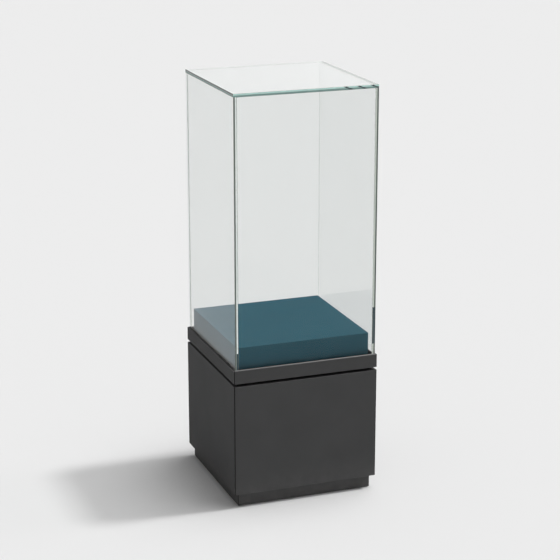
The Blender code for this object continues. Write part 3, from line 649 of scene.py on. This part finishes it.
tree, given, result = new_group(
    "handled_glass", {"Tint": ("Color", GLASS_TINT)}, {"Colour": "Color", "Roughness": "Float"})
smear = fade(tree, noise(tree, here(tree), 0.09, 5.0), 0.52, 0.80)
tree.links.new(mixed(tree, maths(tree, "MULTIPLY", smear, 0.03), given["Tint"], SMEAR_TINT), result["Colour"])
tree.links.new(maths(tree, "MULTIPLY_ADD", smear, 0.012, 0.002), result["Roughness"])

# What stands in the case is painted into an upright edge as a dark stretch: a painted reflection.
tree, given, result = new_group(
    "painted_block_reflection", {"Low": ("Float", 0.0), "High": ("Float", 1.0)}, {"Share": "Float"})
height = node(tree, "SeparateXYZ", {0: here(tree)}).outputs["Z"]
above = maths(tree, "GREATER_THAN", height, given["Low"])
tree.links.new(maths(tree, "MULTIPLY", above, maths(tree, "LESS_THAN", height, given["High"])),
               result["Share"])

# The joint under the top pane shows as short dark slanted strokes in its front edge: painted reflections.
tree, given, result = new_group(
    "painted_joint_flashes", {"First": ("Float", 0.167), "Pitch": ("Float", 0.0555), "Slant": ("Float", 2.5),
                      "Level": ("Float", 1.65)}, {"Share": "Float"})
spot = node(tree, "SeparateXYZ", {0: here(tree)}).outputs
up = maths(tree, "SUBTRACT", spot["Z"], given["Level"])
leant = maths(tree, "MULTIPLY_ADD", up, given["Slant"], spot["X"])
turns = maths(tree, "DIVIDE", maths(tree, "SUBTRACT", leant, given["First"]), given["Pitch"])
wave = maths(tree, "COSINE", maths(tree, "MULTIPLY", turns, 2 * math.pi))
begun = maths(tree, "GREATER_THAN", turns, -0.5)
in_front = maths(tree, "LESS_THAN", spot["Y"], 0.0)
painted_flash = maths(tree, "MULTIPLY", fade(tree, wave, 0.62, 0.80), begun)
tree.links.new(maths(tree, "MULTIPLY", painted_flash, in_front), result["Share"])


def clear_glass(name):
    """Clear glass, a little deeper where it is looked through aslant, with faint smears."""
    material, tree, shader = new_material(name)
    slant = node(tree, "LayerWeight", {"Blend": 0.5}).outputs["Facing"]
    film = add_group(tree, "handled_glass", {"Tint": mixed(tree, slant, GLASS_TINT, GRAZED_TINT)})
    tree.links.new(film["Colour"], shader.inputs["Base Color"])
    tree.links.new(film["Roughness"], shader.inputs["Roughness"])
    shader.inputs["IOR"].default_value = GLASS_INDEX
    shader.inputs["Transmission Weight"].default_value = 1.0
    return material, tree, shader


def open_to_lamps(tree, surface):
    """Lets lamps and scattered light straight through, so that what stands in the case is lit."""
    path = node(tree, "LightPath").outputs
    scattered = maths(tree, "MAXIMUM", path["Is Shadow Ray"], path["Is Diffuse Ray"])
    unbent = node(tree, "BsdfTransparent", {"Color": LAMP_TINT}).outputs[0]
    either = node(tree, "MixShader", {0: scattered, 1: surface, 2: unbent}).outputs[0]
    tree.links.new(either, tree.nodes["Material Output"].inputs["Surface"])


def polished_edge(name, colour, bonded=False, marks=None, values=None, painted_glow=0.0):
    """A ply's polished edge seen from outside, opaque and painted with the light it shows.  From inside
    the pane it is plain glass, or resin if bonded.

    marks is the node group of its painted reflections, and painted_glow is painted emission for the light
    that the pane carries out there."""
    material, tree, shader = clear_glass(name)
    ground = fade(tree, noise(tree, here(tree), 0.004, 3.0), 0.3, 0.7, 0.93, 1.07)
    shade = scaled(tree, colour, ground)
    if marks:
        shade = mixed(tree, add_group(tree, marks, values)["Share"], shade, PAINTED_REFLECTION_DARK)
    outside = node(tree, "BsdfPrincipled", {"Base Color": shade, "Roughness": 0.10, "IOR": 1.5,
                                            "Emission Color": shade, "Emission Strength": painted_glow}).outputs[0]
    within = node(tree, "BsdfTransparent", {"Color": RESIN_TINT}).outputs[0] if bonded else shader.outputs[0]
    inside = node(tree, "NewGeometry").outputs["Backfacing"]
    open_to_lamps(tree, node(tree, "MixShader", {0: inside, 1: outside, 2: within}).outputs[0])
    return material


def build_pane(name, stands_for, axis, outward, tones, side_tones=()):
    """A pane whose thickness lies along axis; outward is the sign of its outer side.

    tones are for its outer ply, inner ply and arrises, and side_tones for the plies at its left and right."""
    low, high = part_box(stands_for)
    thickness = high[axis] - low[axis]
    outer = high[axis] if outward > 0 else low[axis]
    levels = [(0, ARRIS, BEVEL), (ARRIS, 0, OUTER_PLY), (PLY, 0, INTERLAYER),
              (PLY, INTERLAYER_DEPTH, INTERLAYER), (thickness - PLY, INTERLAYER_DEPTH, INTERLAYER),
              (thickness - PLY, 0, INNER_PLY), (thickness - ARRIS, 0, BEVEL), (thickness, ARRIS, 0)]
    work = bmesh.new()
    add_rings(work, [list(framed(low, high, axis, inset, outer - outward * deep))
                     for deep, inset, _ in levels])
    work.faces.ensure_lookup_table()
    for i, (_, _, ply) in enumerate(levels[:-1]):
        for j, face in enumerate(work.faces[4 * i:4 * i + 4]):
            at_side = side_tones and j % 2 == 0 and ply in (OUTER_PLY, INNER_PLY)
            face.material_index = ply + TO_SIDE if at_side else ply
    pane = add_piece(name, work, pane_glass, "hood", "glass", stands_for)
    for material in (*tones, interlayer_edge, *side_tones):
        pane.data.materials.append(material)


pane_glass, tree, shader = clear_glass("pane_glass")
open_to_lamps(tree, shader.outputs[0])
block_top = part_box("display_block")[1].z
block_view = {"Low": 0.0, "High": block_top - VIEW_DROP}
block_mirror = {"Low": block_top - MIRROR_DROP, "High": block_top + MIRROR_RISE}
top_low, top_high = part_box("glass_top")
painted_flashes = {"Level": (top_low.z + top_high.z) / 2}
# The edges' colours are painted light: pale where the glass looks lit, deep where it looks shaded.
DEEP = (0.150, 0.180, 0.158)
PALE = (0.90, 0.96, 0.93)
deep_left = polished_edge("edge_deep_left", DEEP)
pale_left = polished_edge("edge_pale_left", PALE, False, "painted_block_reflection", block_view, 0.16)
deep_right = polished_edge("edge_deep_right", (0.105, 0.130, 0.108), True, "painted_block_reflection", block_mirror)
pale_right = polished_edge("edge_pale_right", (0.72, 0.78, 0.71), True, "painted_block_reflection", block_mirror)
deep_bonded = polished_edge("edge_deep_bonded", DEEP, True)
pale_bonded = polished_edge("edge_pale_bonded", PALE, True)
aqua_edge = polished_edge("edge_aqua", (0.62, 0.93, 0.86), False, "painted_joint_flashes", painted_flashes)
sea_edge = polished_edge("edge_sea", (0.22, 0.38, 0.35), False, "painted_joint_flashes", painted_flashes)
green_edge = polished_edge("edge_green", (0.030, 0.066, 0.056))
moss_edge = polished_edge("edge_moss", (0.15, 0.26, 0.23))
interlayer_edge = polished_edge("edge_interlayer", (0.40, 0.48, 0.45))
ground_arris = moulding("ground_arris", (0.22, 0.25, 0.24), 0.45, 0.05)
build_pane("pane_front", "glass_front", 1, -1, (deep_bonded, pale_bonded, deep_bonded))
build_pane("pane_rear", "glass_rear", 1, 1, (deep_bonded, pale_bonded, deep_bonded))
build_pane("pane_left", "glass_left", 0, -1, (deep_left, pale_left, deep_left))
build_pane("pane_right", "glass_right", 0, 1, (deep_right, pale_right, deep_right))
build_pane("pane_top", "glass_top", 2, 1, (aqua_edge, sea_edge, ground_arris), (green_edge, moss_edge))

low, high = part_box("glazing_tape")
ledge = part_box("band_front")[1].z
work = bmesh.new()
add_rings(work, [list(framed(low, high, 2, -outward, ledge + up)) for outward, up in BEAD], closed=True)
work.faces.ensure_lookup_table()
# The front run takes the grey, a painted highlight where the ledge catches light; the rest is black.
for face in list(work.faces)[1::4]:
    face.material_index = 1        # the front run
bead = add_piece("setting_bead", work, rubber, "hood", "black_rubber")
bead.data.materials.append(moulding("bead_painted_highlight", (0.24, 0.24, 0.24), 0.40, 0.06))


# ---- Hood locks ---------------------------------------------------------------------------------
# Two small cam locks in the band at the back hook the hood to the seat ring.  Each is a turned steel
# barrel with a chamfered bezel, round a plug with a keyway.
PLUG_GAP = 0.0016                  # from the barrel's outside to its bore
BEZEL = 0.0005
BEZEL_RIM = 0.0014
LOCK_STEEL = (0.56, 0.56, 0.55, 1)
TOOL_PITCH = 0.00035

tree, given, result = new_group(
    "turned_steel", {"Tone": ("Color", LOCK_STEEL), "Centre": ("Vector", (0, 0, 0))}, SKIN)
spot = here(tree)
reach = node(tree, "VectorMath", {0: spot, 1: given["Centre"]}, operation="SUBTRACT").outputs[0]
flat = node(tree, "VectorMath", {0: reach, 1: (1, 0, 1)}, operation="MULTIPLY").outputs[0]
radius = node(tree, "VectorMath", {0: flat}, operation="LENGTH").outputs["Value"]
tool_marks = maths(tree, "SINE", maths(tree, "MULTIPLY", radius, 2 * math.pi / TOOL_PITCH))
scratched = fade(tree, noise(tree, spot, 0.002, 6.0), 0.45, 0.75)
tree.links.new(scaled(tree, given["Tone"], fade(tree, scratched, 0.0, 1.0, 1.0, 0.86)), result["Colour"])
tree.links.new(maths(tree, "MULTIPLY_ADD", scratched, 0.12, 0.22), result["Roughness"])
tree.links.new(maths(tree, "MULTIPLY_ADD", scratched, 0.4, tool_marks), result["Height"])


def build_lock(lock, body):
    """A turned barrel in place of the housing, and tool marks on both the barrel and the plug."""
    low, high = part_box(lock + "_housing")
    centre = Vector(((low.x + high.x) / 2, high.y, (low.z + high.z) / 2))
    radius = (high.x - low.x) / 2
    depth = high.y - low.y
    steel = surfaced(lock + "_steel", "turned_steel", {"Tone": LOCK_STEEL, "Centre": centre}, 0.000006, 1.0)
    bore = radius - PLUG_GAP
    profile = [(bore, 0), (bore + BEZEL / 2, 0), (radius - BEZEL, 0), (radius, -BEZEL), (radius, -BEZEL_RIM),
               (radius - BEZEL, -BEZEL_RIM), (radius - BEZEL, -depth), (bore, -depth)]
    work = bmesh.new()
    rings = [round_ring(wide, level) for wide, level in profile]
    add_rings(work, placed(rings, centre, (0, 1, 0)), closed=True)
    add_piece(lock + "_barrel", work, steel, body, "lock_steel", lock + "_housing")
    dress(lock + "_plug", steel)


for side in ("left", "right"):
    build_lock("hood_lock_" + side, "hood")


# ---- Rear door ----------------------------------------------------------------------------------
# An 18 mm lacquered MDF leaf that turns on steel pins in its top and bottom edges.  A bulb seal runs
# round its inner face, and a cam lock hooks behind the rail.
DOOR_SEAL_WIDTH = 0.0065

lacquer("rear_door")
for end in ("top", "bottom"):
    plated("door_pivot_" + end)
low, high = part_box("door_seal")
add_seal("door_bulb", rubber, 1, high.y, low.y, DOOR_SEAL_WIDTH, "rear_door", "door_seal")
build_lock("door_lock", "rear_door")


# ---- Silica drawer ------------------------------------------------------------------------------
# A zinc-plated tray behind a lacquered front, sealed and locked like the door.  It holds two moulded
# cassettes with slotted lids, whose fleece lets the case's air reach the silica gel.
CASSETTE_WALL = 0.003
LID_DROP = 0.0004
LID_THICKNESS = 0.002
RECESS = 0.006
LID_MARGIN = 0.010
SLOT_ROWS = 22
SLOT_SHARE = 0.5                   # of each row's pitch
FLEECE_QUILT = 0.0007
TRAY_WALL = 0.0015
TRAY_SCREW_LEVEL = 0.448
TRAY_SCREW_PLACES = (-0.20, -0.07, 0.07, 0.20)
LID_GAP = 0.0003
FLEECE_GAP = 0.0002
FLEECE_STEPS = 40
WHITE = (0.70, 0.70, 0.68)


def add_slotted_lid(work, low, high, bottom, top):
    """A plate with two columns of slots: its cells are solid, except in the slots."""
    middle = (low.x + high.x) / 2
    xs = [low.x, low.x + LID_MARGIN, middle - LID_MARGIN / 2, middle + LID_MARGIN / 2, high.x - LID_MARGIN,
          high.x]
    pitch = (high.y - low.y - 2 * LID_MARGIN) / SLOT_ROWS
    ys = [low.y]
    for row in range(SLOT_ROWS):
        ys += [low.y + LID_MARGIN + pitch * (row + (1 - SLOT_SHARE) / 2),
               low.y + LID_MARGIN + pitch * (row + (1 + SLOT_SHARE) / 2)]
    ys.append(high.y)
    points = {(i, j, level): work.verts.new((x, y, level))
              for i, x in enumerate(xs) for j, y in enumerate(ys) for level in (bottom, top)}

    def solid(i, j):
        inside = 0 <= i < len(xs) - 1 and 0 <= j < len(ys) - 1
        return inside and not (i in (1, 3) and j % 2 == 1)

    def wall(first, second):
        work.faces.new((points[*first, bottom], points[*second, bottom], points[*second, top],
                        points[*first, top]))

    for i in range(len(xs) - 1):
        for j in range(len(ys) - 1):
            if not solid(i, j):
                continue
            for level in (bottom, top):
                work.faces.new([points[i + u, j + v, level] for u, v in ((0, 0), (1, 0), (1, 1), (0, 1))])
            if not solid(i - 1, j):
                wall((i, j), (i, j + 1))
            if not solid(i + 1, j):
                wall((i + 1, j), (i + 1, j + 1))
            if not solid(i, j - 1):
                wall((i, j), (i + 1, j))
            if not solid(i, j + 1):
                wall((i, j + 1), (i + 1, j + 1))


def add_fleece(work, low, high, bottom, top):
    """A thin pad with a quilted upper face."""
    steps = FLEECE_STEPS
    corner = {}
    for i in range(steps + 1):
        for j in range(steps + 1):
            u, v = i / steps, j / steps
            puff = abs(math.sin(4 * math.pi * u) * math.sin(5 * math.pi * v)) * FLEECE_QUILT
            place = (low.x + (high.x - low.x) * u, low.y + (high.y - low.y) * v)
            corner[i, j, 1] = work.verts.new((*place, top - FLEECE_QUILT + puff))
            corner[i, j, 0] = work.verts.new((*place, bottom))
    for i in range(steps):
        for j in range(steps):
            for level in (0, 1):
                work.faces.new([corner[i + u, j + v, level] for u, v in ((0, 0), (1, 0), (1, 1), (0, 1))])
        for first, second in (((i, 0), (i + 1, 0)), ((i, steps), (i + 1, steps)), ((0, i), (0, i + 1)),
                              ((steps, i), (steps, i + 1))):
            work.faces.new((corner[*first, 0], corner[*second, 0], corner[*second, 1], corner[*first, 1]))


lacquer("drawer_front")
plated("drawer_tray")
low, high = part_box("drawer_seal")
add_seal("drawer_bulb", rubber, 1, high.y, low.y, DOOR_SEAL_WIDTH, "drawer", "drawer_seal")
build_lock("drawer_lock", "drawer")
inner_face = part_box("drawer_tray")[1].y - TRAY_WALL
add_screws("tray_screws", "drawer", [((x, inner_face, TRAY_SCREW_LEVEL), (0, -1, 0))
                                     for x in TRAY_SCREW_PLACES])
white_plastic = moulding("cassette_white", WHITE, 0.42, 0.05)
fleece_white = moulding("cassette_fleece", (0.62, 0.61, 0.57), 0.90, 0.10)
for side in ("left", "right"):
    cassette = "silica_cassette_" + side
    low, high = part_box(cassette)
    rim = high.z
    work = bmesh.new()
    outlines = [(0.002, low.z), (0.0, low.z + 0.002), (0.0, rim - 0.008), (0.0008, rim - 0.0076),
                (0.0008, rim - 0.0070), (0.0, rim - 0.0066), (0.0, rim - 0.0015), (0.0006, rim - 0.0004),
                (0.0015, rim), (CASSETTE_WALL, rim), (CASSETTE_WALL, rim - RECESS)]
    add_rings(work, [list(framed(low, high, 2, inset, level)) for inset, level in outlines])
    inset = Vector((CASSETTE_WALL + LID_GAP, CASSETTE_WALL + LID_GAP, 0))
    lid_bottom = rim - LID_DROP - LID_THICKNESS
    add_slotted_lid(work, low + inset, high - inset, lid_bottom, rim - LID_DROP)
    add_piece("cassette_" + side, work, white_plastic, "drawer", "white_plastic", cassette)
    work = bmesh.new()
    add_fleece(work, low + inset, high - inset, rim - RECESS + FLEECE_GAP, lid_bottom - FLEECE_GAP)
    add_piece("fleece_" + side, work, fleece_white, "drawer", "white_plastic", cassette)
